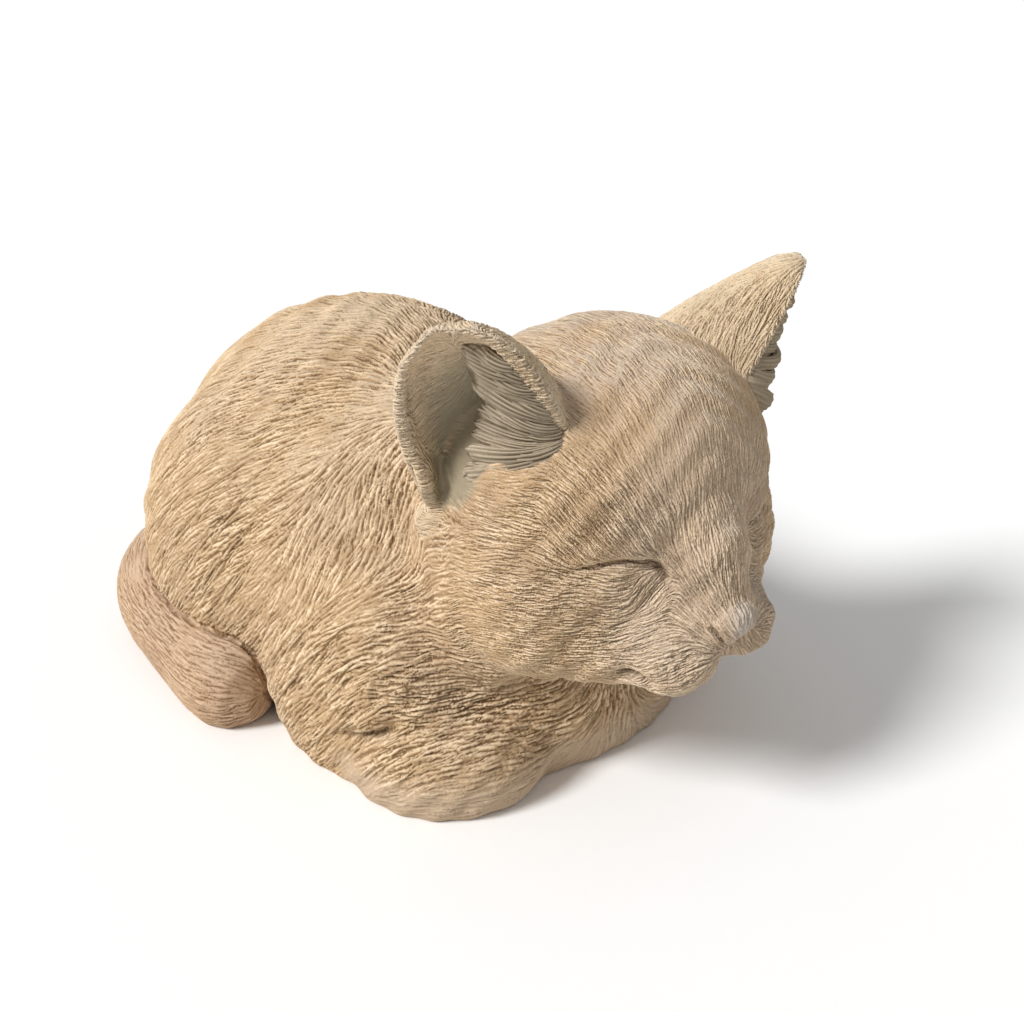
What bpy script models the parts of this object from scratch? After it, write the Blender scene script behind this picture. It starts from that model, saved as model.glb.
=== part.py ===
"""Sleeping-cat garden ornament: cast-stone pieces bonded together over steel pegs. Metres, +Z up.

The cat lies facing -Y with its right side at -X, and its flat underside is the plane z = 0.
Each casting starts as rounded masses that are melted into one skin, as a modeller builds up clay.
"""
import math

import bmesh
import bpy
from mathutils import Matrix, Vector
from mathutils.bvhtree import BVHTree

for old in list(bpy.data.objects):
    bpy.data.objects.remove(old)

# Bond lines, at straight cuts and on the combed coat, casting wall and base
BOND = 0.0003
COAT_BOND = 0.0006
WALL = 0.009
PLATE_THICKNESS = 0.006
PLUG_RADIUS = 0.011
PLUG_AT = (0.0, 0.060)

# Further than any piece of the cat reaches, for the straight cuts
REACH = 0.4

# Trunk masses: centre and radii of each
RUMP_AT = (-0.012, 0.048, 0.049)
RUMP_RADII = (0.071, 0.078, 0.073)
BARREL_AT = (-0.006, 0.004, 0.044)
BARREL_RADII = (0.075, 0.068, 0.067)
CHEST_AT = (-0.002, -0.040, 0.020)
CHEST_RADII = (0.060, 0.040, 0.052)
HAUNCH_SPREAD = 0.040
HAUNCH_LEAN = -0.010
HAUNCH_BACK = 0.050
HAUNCH_HEIGHT = 0.038
HAUNCH_RADII = (0.044, 0.060, 0.062)
SHOULDER_SPREAD = 0.044
SHOULDER_BACK = -0.018
SHOULDER_HEIGHT = 0.026
SHOULDER_RADII = (0.038, 0.050, 0.056)

# Forepaws, tucked under the chest, and where their castings are cut from the trunk
FOREPAW_RIGHT_FROM_CHEST = (-0.041, -0.008, -0.010)
FOREPAW_LEFT_FROM_CHEST = (0.031, 0.006, -0.010)
FOREPAW_RADII = (0.034, 0.034, 0.025)
FOREPAW_TOP = 0.028
FOREPAW_BACK = -0.020
FOREPAW_INNER = 0.010

# Head masses, placed from the middle of the skull
HEAD_AT = (0.0, -0.068, 0.098)
SKULL_RADII = (0.048, 0.046, 0.042)
BROW_FROM_HEAD = (0.0, -0.016, 0.006)
BROW_RADII = (0.033, 0.029, 0.032)
BRIDGE_FROM_HEAD = (0.0, -0.037, -0.013)
BRIDGE_RADII = (0.014, 0.018, 0.018)
NOSE_FROM_HEAD = (0.0, -0.051, -0.027)
NOSE_RADII = (0.009, 0.008, 0.008)
MUZZLE_FROM_HEAD = (0.0, -0.034, -0.035)
MUZZLE_RADII = (0.026, 0.021, 0.018)
CHIN_FROM_HEAD = (0.0, -0.034, -0.049)
CHIN_RADII = (0.015, 0.014, 0.010)
CHEEK_FROM_HEAD = (0.026, -0.006, -0.025)
CHEEK_RADII = (0.028, 0.029, 0.031)
JOWL_FROM_HEAD = (0.018, -0.020, -0.036)
JOWL_RADII = (0.020, 0.022, 0.018)
PAD_FROM_HEAD = (0.012, -0.042, -0.038)
PAD_RADII = (0.014, 0.014, 0.012)
EYELID_FROM_HEAD = (0.021, -0.024, -0.020)
EYELID_RADII = (0.017, 0.014, 0.014)
NAPE_FROM_HEAD = (0.0, 0.040, -0.014)
NAPE_RADII = (0.040, 0.044, 0.032)

# Closed eyes: a furrow from the outer to the inner corner of each, deepest in the middle
EYE_LINE_FROM_HEAD = (
    (0.0435, -0.0270, -0.0180),
    (0.0357, -0.0304, -0.0119),
    (0.0285, -0.0354, -0.0091),
    (0.0226, -0.0392, -0.0085),
    (0.0175, -0.0413, -0.0102),
    (0.0130, -0.0435, -0.0160),
)
EYE_FURROW_RADIUS = 0.0017
EYE_FURROW_END = 0.35

# Combed coat: long furrows, slanting down and back from the spine on both sides
COMB_PITCH = 0.0094
COMB_HEIGHT = 0.0010
COMB_ACROSS = (0.60, 0.65, 0.75)

# Neck joint: a straight cut that slopes from the nape down to the throat
NECK_FROM_HEAD = (0.0, 0.018, -0.012)
NECK_SLOPE = -33

# Ears: a cupped leaf between the two corners of its foot and its tip
EAR_FRONT_FROM_HEAD = (0.031, -0.022, 0.021)
EAR_BACK_FROM_HEAD = (0.050, 0.019, -0.005)
EAR_TIP_FROM_HEAD = (0.064, -0.010, 0.052)
EAR_ROOT = 0.012
EAR_RIGHT_DEPTH = 0.026
EAR_LEFT_DEPTH = 0.034
EAR_SLIM = 0.62
EAR_WALL = 0.009
EAR_RIM = 0.004
EAR_TIP_POWER = 2.3
EAR_TIP_LEAST = 0.06
EAR_STEPS = 12
EAR_ARC = 9

# Tail, laid round the right haunch
TAIL_RADIUS = 0.0165
TAIL_BED = 0.0235
TAIL_ROOT_ANGLE = 92
TAIL_ROOT_TUCK = 0.45
TAIL_TIP_ANGLE = 206
TAIL_ROOT_HEIGHT = 0.026
TAIL_TIP_HEIGHT = 0.009
TAIL_TIP_ROUNDING = 0.014
TAIL_SQUARENESS = 0.55
TAIL_TIP_LEAST = 0.35
TAIL_STEPS = 22

# Steel dowel and pegs
DOWEL_RADIUS = 0.005
DOWEL_LENGTH = 0.056
PEG_RADIUS = 0.0016
EAR_PEG_LENGTH = 0.022
EAR_PEG_AIM = 0.6
TAIL_PEG_LENGTH = 0.026
TAIL_PEG_ANGLES = (120, 175)
FOREPAW_PEG_LENGTH = 0.024

# Surface detail of the castings
GRAIN = 0.0022
TRUNK_PASSES = 50
HEAD_PASSES = 9
JOIN_PASSES = 4
SKIN_KEEP = 0.15
HOLLOW_KEEP = 0.04
ROUND_SIDES = 16
FURROW_SIDES = 8

# Stone and steel colours
STONE_BUFF = (0.60, 0.43, 0.26)
STONE_PALE = (0.66, 0.50, 0.34)
STONE_TAIL = (0.60, 0.42, 0.28)
MORTAR_GREY = (0.38, 0.36, 0.33)
PLUG_GREY = (0.20, 0.19, 0.18)
STEEL_GREY = (0.55, 0.55, 0.56)


def finish(name, colour, roughness, metallic=0.0):
    """One plain surface finish."""
    material = bpy.data.materials.new(name)
    material.use_nodes = True
    shader = material.node_tree.nodes["Principled BSDF"]
    shader.inputs["Base Color"].default_value = (*colour, 1.0)
    shader.inputs["Roughness"].default_value = roughness
    shader.inputs["Metallic"].default_value = metallic
    return material


def piece(name, mesh, colour, roughness=0.85, metallic=0.0):
    """A named, smooth-shaded sub-part with its own finish."""
    mesh.materials.clear()
    mesh.materials.append(finish(name + "_finish", colour, roughness, metallic))
    mesh.shade_smooth()
    mesh.set_sharp_from_angle(angle=math.radians(40))
    part = bpy.data.objects.new(name, mesh)
    bpy.context.collection.objects.link(part)
    return part


def cutter(name, mesh, grow=0.0):
    """A hidden shape that others are cut by, swollen along its normals by grow."""
    tool = bpy.data.objects.new(name, mesh.copy())
    bpy.context.collection.objects.link(tool)
    tool.hide_render = True
    tool.display_type = 'WIRE'
    if grow:
        swell = tool.modifiers.new("swell", 'DISPLACE')
        swell.strength = grow
        swell.mid_level = 0.0
    return tool


def cut(target, tool, operation='DIFFERENCE'):
    """Cut target by tool, or keep only what they share."""
    step = target.modifiers.new(tool.name, 'BOOLEAN')
    step.operation = operation
    step.object = tool


def shaped(source):
    """The mesh of an object with its modifiers taken in, after which the object goes."""
    bpy.context.view_layer.update()
    mesh = bpy.data.meshes.new_from_object(source.evaluated_get(bpy.context.evaluated_depsgraph_get()))
    bpy.data.objects.remove(source)
    return mesh


def melted(meshes, passes, grow=0.0):
    """Overlapping shapes melted into one soft skin, swollen by grow."""
    bm = bmesh.new()
    for mesh in meshes:
        bm.from_mesh(mesh)
    joined = bpy.data.meshes.new("joined")
    bm.to_mesh(joined)
    bm.free()
    source = cutter("joined", joined, grow)
    skin = source.modifiers.new("skin", 'REMESH')
    skin.mode = 'VOXEL'
    skin.voxel_size = GRAIN
    soften = source.modifiers.new("soften", 'SMOOTH')
    soften.factor = 0.5
    soften.iterations = passes
    return shaped(source)


def thinned(mesh, keep):
    """A skin with that share of its faces kept."""
    source = cutter("thinned", mesh)
    thin = source.modifiers.new("thin", 'DECIMATE')
    thin.ratio = keep
    return shaped(source)


def combed(mesh):
    """A skin with the furrows of its coat combed in."""
    outward = [vert.normal.copy() for vert in mesh.vertices]
    for vert, normal in zip(mesh.vertices, outward):
        across = abs(vert.co.x) * COMB_ACROSS[0] + vert.co.y * COMB_ACROSS[1] + vert.co.z * COMB_ACROSS[2]
        vert.co += normal * math.sin(2 * math.pi * across / COMB_PITCH) * COMB_HEIGHT / 2
    mesh.update()
    return mesh


def rounded(at, radii):
    """One rounded mass by its centre and radii."""
    bm = bmesh.new()
    place = Matrix.Translation(at) @ Matrix.Diagonal((*radii, 1.0))
    bmesh.ops.create_icosphere(bm, subdivisions=4, radius=1.0, matrix=place)
    mesh = bpy.data.meshes.new("mass")
    bm.to_mesh(mesh)
    bm.free()
    return mesh


def lofted(rings):
    """A closed skin through a row of rings with equal point counts."""
    bm = bmesh.new()
    rows = [[bm.verts.new(point) for point in ring] for ring in rings]
    count = len(rows[0])
    for lower, upper in zip(rows, rows[1:]):
        for i in range(count):
            j = (i + 1) % count
            bm.faces.new((lower[i], lower[j], upper[j], upper[i]))
    bm.faces.new(rows[0])
    bm.faces.new(rows[-1])
    bmesh.ops.triangulate(bm, faces=[face for face in bm.faces if len(face.verts) > 4])
    bmesh.ops.recalc_face_normals(bm, faces=bm.faces)
    mesh = bpy.data.meshes.new("loft")
    bm.to_mesh(mesh)
    bm.free()
    return mesh


def rod(start, end, radius):
    """A round rod between two points."""
    run = Vector(end) - Vector(start)
    turn = run.to_track_quat('Z', 'Y').to_matrix().to_4x4()
    bm = bmesh.new()
    bmesh.ops.create_cone(
        bm, cap_ends=True, segments=ROUND_SIDES, radius1=radius, radius2=radius, depth=run.length,
        matrix=Matrix.Translation((Vector(start) + Vector(end)) / 2) @ turn)
    mesh = bpy.data.meshes.new("rod")
    bm.to_mesh(mesh)
    bm.free()
    return mesh


def block(low, high, place=Matrix.Identity(4)):
    """A square block between two corners, put in place as a whole."""
    size = [h - l for l, h in zip(low, high)]
    middle = [(l + h) / 2 for l, h in zip(low, high)]
    bm = bmesh.new()
    stretch = Matrix.Translation(middle) @ Matrix.Diagonal((*size, 1.0))
    bmesh.ops.create_cube(bm, size=1.0, matrix=place @ stretch)
    mesh = bpy.data.meshes.new("block")
    bm.to_mesh(mesh)
    bm.free()
    return mesh


def hoop(middle, run, radius, sides):
    """A ring of points round a middle, square to the run through it."""
    side = run.cross(Vector((0, 0, 1))).normalized()
    up = side.cross(run).normalized()
    turns = [2 * math.pi * k / sides for k in range(sides)]
    return [middle + (side * math.cos(a) + up * math.sin(a)) * radius for a in turns]


def pegged(name, start, run, length, radius, through):
    """A steel peg from start along run, with a close bore for it in each piece it passes through."""
    along = Vector(run).normalized()
    end = Vector(start) + along * length
    peg = piece(name, rod(start, end, radius), STEEL_GREY, roughness=0.35, metallic=1.0)
    bore = cutter(name + "_bore", rod(start - along * BOND, end + along * BOND, radius + BOND))
    for part in through:
        cut(part, bore)
    return peg


def way_out(at, radii, start, run):
    """Where a ray from start leaves a rounded mass."""
    local = Vector([(s - c) / r for s, c, r in zip(start, at, radii)])
    step = Vector([d / r for d, r in zip(run, radii)])
    a = step.dot(step)
    b = local.dot(step)
    c = local.dot(local) - 1.0
    return Vector(start) + Vector(run) * ((-b + math.sqrt(max(b * b - a * c, 0.0))) / a)


def mirrored(point, side):
    """A point given for the left, put on the side asked for: 1 left, -1 right."""
    return Vector((point[0] * side, point[1], point[2]))


def both_sides(centre, offset, radii):
    """The same mass on the left and on the right of a centre."""
    return [rounded(Vector(centre) + mirrored(offset, side), radii) for side in (1, -1)]


# The whole skin of the cat, from which the castings are cut
head_at = Vector(HEAD_AT)
chest_at = Vector(CHEST_AT)
rear_masses = [
    rounded(RUMP_AT, RUMP_RADII),
    rounded(BARREL_AT, BARREL_RADII),
    *both_sides((HAUNCH_LEAN, HAUNCH_BACK, HAUNCH_HEIGHT), (HAUNCH_SPREAD, 0, 0), HAUNCH_RADII),
]
front_masses = [
    rounded(CHEST_AT, CHEST_RADII),
    rounded(head_at + Vector(NAPE_FROM_HEAD), NAPE_RADII),
    *both_sides((CHEST_AT[0], SHOULDER_BACK, SHOULDER_HEIGHT), (SHOULDER_SPREAD, 0, 0), SHOULDER_RADII),
]
forepaw_masses = [
    rounded(chest_at + Vector(FOREPAW_RIGHT_FROM_CHEST), FOREPAW_RADII),
    rounded(chest_at + Vector(FOREPAW_LEFT_FROM_CHEST), FOREPAW_RADII),
]
head_masses = [
    rounded(head_at, SKULL_RADII),
    rounded(head_at + Vector(BROW_FROM_HEAD), BROW_RADII),
    rounded(head_at + Vector(BRIDGE_FROM_HEAD), BRIDGE_RADII),
    rounded(head_at + Vector(NOSE_FROM_HEAD), NOSE_RADII),
    rounded(head_at + Vector(MUZZLE_FROM_HEAD), MUZZLE_RADII),
    rounded(head_at + Vector(CHIN_FROM_HEAD), CHIN_RADII),
    *both_sides(head_at, CHEEK_FROM_HEAD, CHEEK_RADII),
    *both_sides(head_at, JOWL_FROM_HEAD, JOWL_RADII),
    *both_sides(head_at, PAD_FROM_HEAD, PAD_RADII),
    *both_sides(head_at, EYELID_FROM_HEAD, EYELID_RADII),
]
trunk_skin = melted(rear_masses + front_masses, TRUNK_PASSES)
head_skin = melted(head_masses, HEAD_PASSES)
cat_skin = thinned(combed(melted([trunk_skin, head_skin, *forepaw_masses], JOIN_PASSES)), SKIN_KEEP)
hollow_skin = thinned(melted([melted(rear_masses, TRUNK_PASSES)], JOIN_PASSES, -WALL), HOLLOW_KEEP)

# Where the castings part: the ground, the neck cut, and a corner for each forepaw
ground = cutter("ground", block((-REACH, -REACH, -REACH), (REACH, REACH, 0)))
neck_at = head_at + Vector(NECK_FROM_HEAD)
neck_place = Matrix.Translation(neck_at) @ Matrix.Rotation(math.radians(NECK_SLOPE), 4, 'X')
neck_run = neck_place.to_3x3() @ Vector((0, -1, 0))


def ahead_of_neck(back_by):
    """All that lies ahead of the neck cut, or of a level some way behind it."""
    return cutter("ahead_of_neck", block((-REACH, -REACH, -REACH), (REACH, back_by, REACH), neck_place))


def forepaw_corner(side, grow):
    """The corner of the body that one forepaw is cut from."""
    inner = FOREPAW_INNER - grow
    low = (min(inner * side, REACH * side), -REACH, -REACH)
    high = (max(inner * side, REACH * side), FOREPAW_BACK + grow, FOREPAW_TOP + grow)
    return cutter("forepaw_corner", block(low, high))


# Head: one solid casting
head = piece("head", cat_skin.copy(), STONE_PALE)
cut(head, ahead_of_neck(-BOND / 2), 'INTERSECT')
head_surface = BVHTree.FromPolygons(
    [vert.co for vert in head_skin.vertices], [face.vertices for face in head_skin.polygons])
for side in (-1, 1):
    line = [head_surface.find_nearest(head_at + mirrored(point, side))[0] for point in EYE_LINE_FROM_HEAD]
    runs = [after - before for before, after in zip(line[:1] + line[:-1], line[1:] + line[-1:])]
    last = len(line) - 1
    swells = [max(math.sin(math.pi * i / last), EYE_FURROW_END) for i in range(last + 1)]
    rings = [hoop(point, run.normalized(), EYE_FURROW_RADIUS * swell, FURROW_SIDES)
             for point, run, swell in zip(line, runs, swells)]
    cut(head, cutter("eye_furrow", lofted(rings)))

# Trunk: a hollow casting, open underneath
trunk = piece("trunk_shell", cat_skin.copy(), STONE_BUFF)
cut(trunk, ahead_of_neck(BOND / 2))
cut(trunk, ground)
hollow = cutter("hollow", hollow_skin)
cut(hollow, ahead_of_neck(WALL))
cut(hollow, cutter("bulkhead", block((-REACH, -REACH, -REACH), (REACH, FOREPAW_BACK + WALL, REACH))))

# Forepaws: two solid castings, flat underneath, each stood on a peg
forepaw_sides = (("right", -1, FOREPAW_RIGHT_FROM_CHEST), ("left", 1, FOREPAW_LEFT_FROM_CHEST))
for side_name, side, offset in forepaw_sides:
    forepaw = piece("forepaw_" + side_name, cat_skin.copy(), STONE_BUFF)
    cut(forepaw, forepaw_corner(side, -BOND / 2), 'INTERSECT')
    cut(forepaw, ground)
    cut(trunk, forepaw_corner(side, BOND / 2))
    foot = chest_at + Vector(offset)
    foot.z = FOREPAW_TOP - FOREPAW_PEG_LENGTH / 2
    pegged("forepaw_peg_" + side_name, foot, (0, 0, 1), FOREPAW_PEG_LENGTH, PEG_RADIUS, (forepaw, trunk))
cut(trunk, hollow)

# Ballast inside the trunk, closed underneath by a plate with its filler plug
core = piece("ballast_core", hollow_skin.copy(), MORTAR_GREY)
plate = piece("base_plate", hollow_skin.copy(), MORTAR_GREY)
bulkhead = cutter("bulkhead", block((-REACH, -REACH, -REACH), (REACH, FOREPAW_BACK + WALL + BOND, REACH)))
for fill in (core, plate):
    fit = fill.modifiers.new("fit", 'DISPLACE')
    fit.strength = -BOND
    fit.mid_level = 0.0
    cut(fill, bulkhead)
cut(core, ahead_of_neck(WALL + BOND))
cut(core, cutter("under_core", block((-REACH, -REACH, -REACH), (REACH, REACH, PLATE_THICKNESS + BOND))))
cut(plate, cutter("plate_level", block((-REACH, -REACH, 0), (REACH, REACH, PLATE_THICKNESS))), 'INTERSECT')
plug_foot = Vector((*PLUG_AT, 0.0))
plug_top = Vector((*PLUG_AT, PLATE_THICKNESS))
piece("filler_plug", rod(plug_foot, plug_top, PLUG_RADIUS), PLUG_GREY)
past = Vector((0, 0, PLATE_THICKNESS))
cut(plate, cutter("plug_hole", rod(plug_foot - past, plug_top + past, PLUG_RADIUS + BOND)))

# Neck dowel, square to the neck cut, from the head through the trunk wall into the ballast
pegged("neck_dowel", neck_at - neck_run * DOWEL_LENGTH / 2, neck_run, DOWEL_LENGTH, DOWEL_RADIUS,
       (head, trunk, core))


def ear_taper(t):
    """How wide an ear is at a share of its height, against its foot."""
    return max(math.sqrt(max(1.0 - max(t, 0.0) ** EAR_TIP_POWER, 0.0)), EAR_TIP_LEAST)


def ear_cup(t):
    """How deep an ear is cupped at a share of its height, against its foot."""
    return ear_taper(t) * (1.0 - EAR_SLIM * max(t, 0.0))


def ear_rings(foot, tip, across, facing, cup):
    """Cupped sections of an ear from its buried root to its tip."""
    rings = []
    root = -EAR_ROOT / (tip - foot).length
    for i in range(EAR_STEPS + 1):
        t = root + (1.0 - root) * i / EAR_STEPS
        taper = ear_taper(t)
        middle = foot.lerp(tip, t)
        rim = across * taper
        inner_rim = across * (1.0 - EAR_RIM / across.length) * taper
        depth = facing * cup * ear_cup(t)
        inner_depth = facing * (cup - EAR_WALL) * ear_cup(t)
        turns = [math.pi * k / EAR_ARC for k in range(EAR_ARC + 1)]
        back = [middle + rim * math.cos(a) - depth * math.sin(a) for a in turns]
        front = [middle + inner_rim * math.cos(a) - inner_depth * math.sin(a) for a in reversed(turns)]
        rings.append(back + front)
    return rings


# Ears: bonded to the skull over a peg that runs in the thick of the cup
for side_name, side, cup in (("right", -1, EAR_RIGHT_DEPTH), ("left", 1, EAR_LEFT_DEPTH)):
    front_corner = head_at + mirrored(EAR_FRONT_FROM_HEAD, side)
    back_corner = head_at + mirrored(EAR_BACK_FROM_HEAD, side)
    tip = head_at + mirrored(EAR_TIP_FROM_HEAD, side)
    foot = (front_corner + back_corner) / 2
    across = (front_corner - back_corner) / 2
    facing = (tip - foot).cross(across).normalized() * side
    ear = piece("ear_" + side_name, lofted(ear_rings(foot, tip, across, facing, cup)), STONE_PALE)
    cut(ear, cutter("ear_seat", cat_skin, COAT_BOND))
    wall_depth = cup - EAR_WALL / 2
    wall_foot, wall_aim = (foot.lerp(tip, t) - facing * wall_depth * ear_cup(t) for t in (0.0, EAR_PEG_AIM))
    peg_run = (wall_aim - wall_foot).normalized()
    ear_seat = way_out(head_at, SKULL_RADII, wall_foot, peg_run)
    peg_start = ear_seat - peg_run * EAR_PEG_LENGTH / 2
    pegged("ear_peg_" + side_name, peg_start, peg_run, EAR_PEG_LENGTH, PEG_RADIUS, (head, ear))

# Tail: a round taper laid on the ground against the haunch
tail_centre = Vector(RUMP_AT)
tail_reach_x = HAUNCH_SPREAD - HAUNCH_LEAN + HAUNCH_RADII[0] + RUMP_AT[0] + TAIL_RADIUS - TAIL_BED
tail_reach_y = RUMP_RADII[1] + TAIL_RADIUS - TAIL_BED


def tail_point(angle):
    """A point on the middle line of the tail, by its bearing round the rump."""
    share = (angle - TAIL_ROOT_ANGLE) / (TAIL_TIP_ANGLE - TAIL_ROOT_ANGLE)
    height = TAIL_ROOT_HEIGHT + (TAIL_TIP_HEIGHT - TAIL_ROOT_HEIGHT) * share
    bearing = math.radians(angle)
    turns = (math.cos(bearing), math.sin(bearing))
    out_x, out_y = (math.copysign(abs(turn) ** TAIL_SQUARENESS, turn) for turn in turns)
    tuck = 1.0 - TAIL_ROOT_TUCK * max(1.0 - share, 0.0) ** 3
    x = tail_centre.x + tail_reach_x * out_x * tuck
    y = tail_centre.y + tail_reach_y * out_y * tuck
    return Vector((x, y, height))


def tail_rings():
    """Round sections along the tail, closing in over the rounding at its tip."""
    rings = []
    tip = tail_point(TAIL_TIP_ANGLE)
    for i in range(TAIL_STEPS + 1):
        angle = TAIL_ROOT_ANGLE + (TAIL_TIP_ANGLE - TAIL_ROOT_ANGLE) * i / TAIL_STEPS
        middle = tail_point(angle)
        run = (tail_point(angle + 1) - tail_point(angle - 1)).normalized()
        left = min((tip - middle).length / TAIL_TIP_ROUNDING, 1.0)
        radius = TAIL_RADIUS * max(math.sqrt(1.0 - (1.0 - left) ** 2), TAIL_TIP_LEAST)
        rings.append(hoop(middle, run, radius, ROUND_SIDES))
    return rings


tail = piece("tail", lofted(tail_rings()), STONE_TAIL)
cut(tail, cutter("tail_seat", cat_skin, COAT_BOND))
cut(tail, ground)
for peg_name, angle in zip(("rear", "front"), TAIL_PEG_ANGLES):
    start = tail_point(angle)
    inward = Vector((tail_centre.x, tail_centre.y, start.z)) - start
    pegged("tail_peg_" + peg_name, start, inward, TAIL_PEG_LENGTH, PEG_RADIUS, (tail, trunk, core))
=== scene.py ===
import math

import bmesh
import bpy
import numpy as np
from mathutils import Matrix, Vector
from mathutils.bvhtree import BVHTree


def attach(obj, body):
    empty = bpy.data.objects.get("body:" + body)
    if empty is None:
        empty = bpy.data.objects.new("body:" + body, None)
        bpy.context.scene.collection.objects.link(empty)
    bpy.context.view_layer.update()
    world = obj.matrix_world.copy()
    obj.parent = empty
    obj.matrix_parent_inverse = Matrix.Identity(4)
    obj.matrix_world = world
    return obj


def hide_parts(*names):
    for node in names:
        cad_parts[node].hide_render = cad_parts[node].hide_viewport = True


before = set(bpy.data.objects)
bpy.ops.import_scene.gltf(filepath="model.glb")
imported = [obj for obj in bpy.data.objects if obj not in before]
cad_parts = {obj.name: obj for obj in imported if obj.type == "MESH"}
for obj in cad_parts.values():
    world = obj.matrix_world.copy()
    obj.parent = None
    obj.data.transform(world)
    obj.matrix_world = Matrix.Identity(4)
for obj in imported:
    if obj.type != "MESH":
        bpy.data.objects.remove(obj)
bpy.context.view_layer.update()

# The clay blank. The cat was modelled as one lump of clay before the mould was split, so the bonded
# castings are melted back into one closed skin here, and the carving later runs on over their joints.
POINT_SPACING = 0.00047
BOND_CLOSED = 0.0005
SAME_POINT = 1e-6
FACET_EASE = 0.7
FACET_PASSES = 60
NECK_CLAY = (
    ((-0.0410, -0.0470, 0.0800), 0.0095),
    ((-0.0435, -0.0530, 0.0730), 0.0105),
    ((-0.0445, -0.0590, 0.0660), 0.0110),
    ((-0.0460, -0.0615, 0.0600), 0.0110),
    ((-0.0428, -0.0640, 0.0520), 0.0105),
    ((-0.0395, -0.0675, 0.0455), 0.0085),
)
CASTINGS = ("trunk_shell", "head", "ear_right", "ear_left", "tail", "forepaw_right", "forepaw_left")
EARS = ("ear_right", "ear_left")
node_names = list(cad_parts)


def arrays_of(mesh):
    """A mesh's points, its four-sided faces and its three-sided ones."""
    points = np.empty(len(mesh.vertices) * 3)
    mesh.vertices.foreach_get("co", points)
    corners = np.empty(len(mesh.loops), dtype=np.int64)
    mesh.loops.foreach_get("vertex_index", corners)
    first = np.empty(len(mesh.polygons), dtype=np.int64)
    sides = np.empty(len(mesh.polygons), dtype=np.int64)
    mesh.polygons.foreach_get("loop_start", first)
    mesh.polygons.foreach_get("loop_total", sides)
    quads = corners[first[sides == 4][:, None] + np.arange(4)]
    tris = corners[first[sides == 3][:, None] + np.arange(3)]
    return points.reshape(-1, 3), quads, tris


def neighbours(quads, tris, count):
    """Each point's neighbours, across the faces as well as along their edges, as pairs."""
    pairs = [quads[:, [a, b]] for a, b in ((0, 1), (1, 2), (2, 3), (3, 0), (0, 2), (1, 3))]
    pairs += [tris[:, [a, b]] for a, b in ((0, 1), (1, 2), (2, 0))]
    pairs = np.sort(np.concatenate(pairs), axis=1)
    keys = np.unique(pairs[:, 0] * count + pairs[:, 1])
    low, high = keys // count, keys % count
    return np.concatenate([low, high]), np.concatenate([high, low])


class Skin:
    """The skin's points and faces, and the ways to average values over it."""

    def __init__(self, mesh):
        self.points, self.quads, self.tris = arrays_of(mesh)
        self.count = len(self.points)
        self.start, self.end = neighbours(self.quads, self.tris, self.count)
        self.valence = np.maximum(np.bincount(self.start, minlength=self.count), 1)

    def gathered(self, weights, values):
        """For each point, the weighted sum of its neighbours' values."""
        return np.bincount(self.start, weights=weights * values[self.end], minlength=self.count)

    def eased(self, values, passes, share=1.0, only=None):
        """Values averaged with their neighbours, pass by pass. share sets how far each point follows."""
        if values.ndim == 2:
            return np.stack([self.eased(column, passes, share, only) for column in values.T], axis=1)
        only = np.ones(self.count, dtype=bool) if only is None else only
        which = np.flatnonzero(only)
        pairs = only[self.start]
        start, end = (np.cumsum(only) - 1)[self.start[pairs]], self.end[pairs]
        share = np.broadcast_to(share, self.count)[which]
        values = values.copy()
        for _ in range(passes):
            mean = np.bincount(start, weights=values[end], minlength=len(which)) / self.valence[which]
            values[which] += (mean - values[which]) * share
        return values

    def facing(self):
        """The outward direction at each point."""
        a, b, c, d = (self.points[self.quads[:, i]] for i in range(4))
        across = np.cross(c - a, d - b)
        p, q, r = (self.points[self.tris[:, i]] for i in range(3))
        corner = np.cross(q - p, r - p)
        total = np.zeros_like(self.points)
        for axis in range(3):
            for side in range(4):
                total[:, axis] += np.bincount(self.quads[:, side], across[:, axis], self.count)
            for side in range(3):
                total[:, axis] += np.bincount(self.tris[:, side], corner[:, axis], self.count)
        return total / np.maximum(np.linalg.norm(total, axis=1, keepdims=True), 1e-12)

    def stand(self):
        """Nothing reaches below the floor."""
        self.points[:, 2] = np.maximum(self.points[:, 2], 0.0)


lump = bmesh.new()
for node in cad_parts.values():
    lump.from_mesh(node.data)
bmesh.ops.remove_doubles(lump, verts=lump.verts, dist=SAME_POINT)
lump.normal_update()
for vert in lump.verts:
    vert.co += vert.normal * BOND_CLOSED
for (x, y, z), radius in NECK_CLAY:
    for side in (1, -1):
        where = Matrix.Translation((side * x, y, z))
        bmesh.ops.create_icosphere(lump, subdivisions=3, radius=radius, matrix=where)
lump_mesh = bpy.data.meshes.new("clay_blank")
lump.to_mesh(lump_mesh)
lump.free()
blank = bpy.data.objects.new("clay_blank", lump_mesh)
bpy.context.scene.collection.objects.link(blank)
melt = blank.modifiers.new("melt", "REMESH")
melt.mode = "VOXEL"
melt.voxel_size = POINT_SPACING
soften = blank.modifiers.new("soften", "SMOOTH")
soften.factor = FACET_EASE
soften.iterations = FACET_PASSES
melted = bpy.data.meshes.new_from_object(blank.evaluated_get(bpy.context.evaluated_depsgraph_get()))
bpy.data.objects.remove(blank)


def casting_finder():
    """A search tree over the CAD nodes' faces, and the node that each face belongs to."""
    places, faces, owners = [], [], []
    for index, name in enumerate(node_names):
        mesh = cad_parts[name].data
        base = len(places)
        places += [vert.co.copy() for vert in mesh.vertices]
        faces += [[base + i for i in face.vertices] for face in mesh.polygons]
        owners += [index] * len(mesh.polygons)
    return BVHTree.FromPolygons(places, faces), np.array(owners)


finder, finder_owner = casting_finder()


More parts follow.
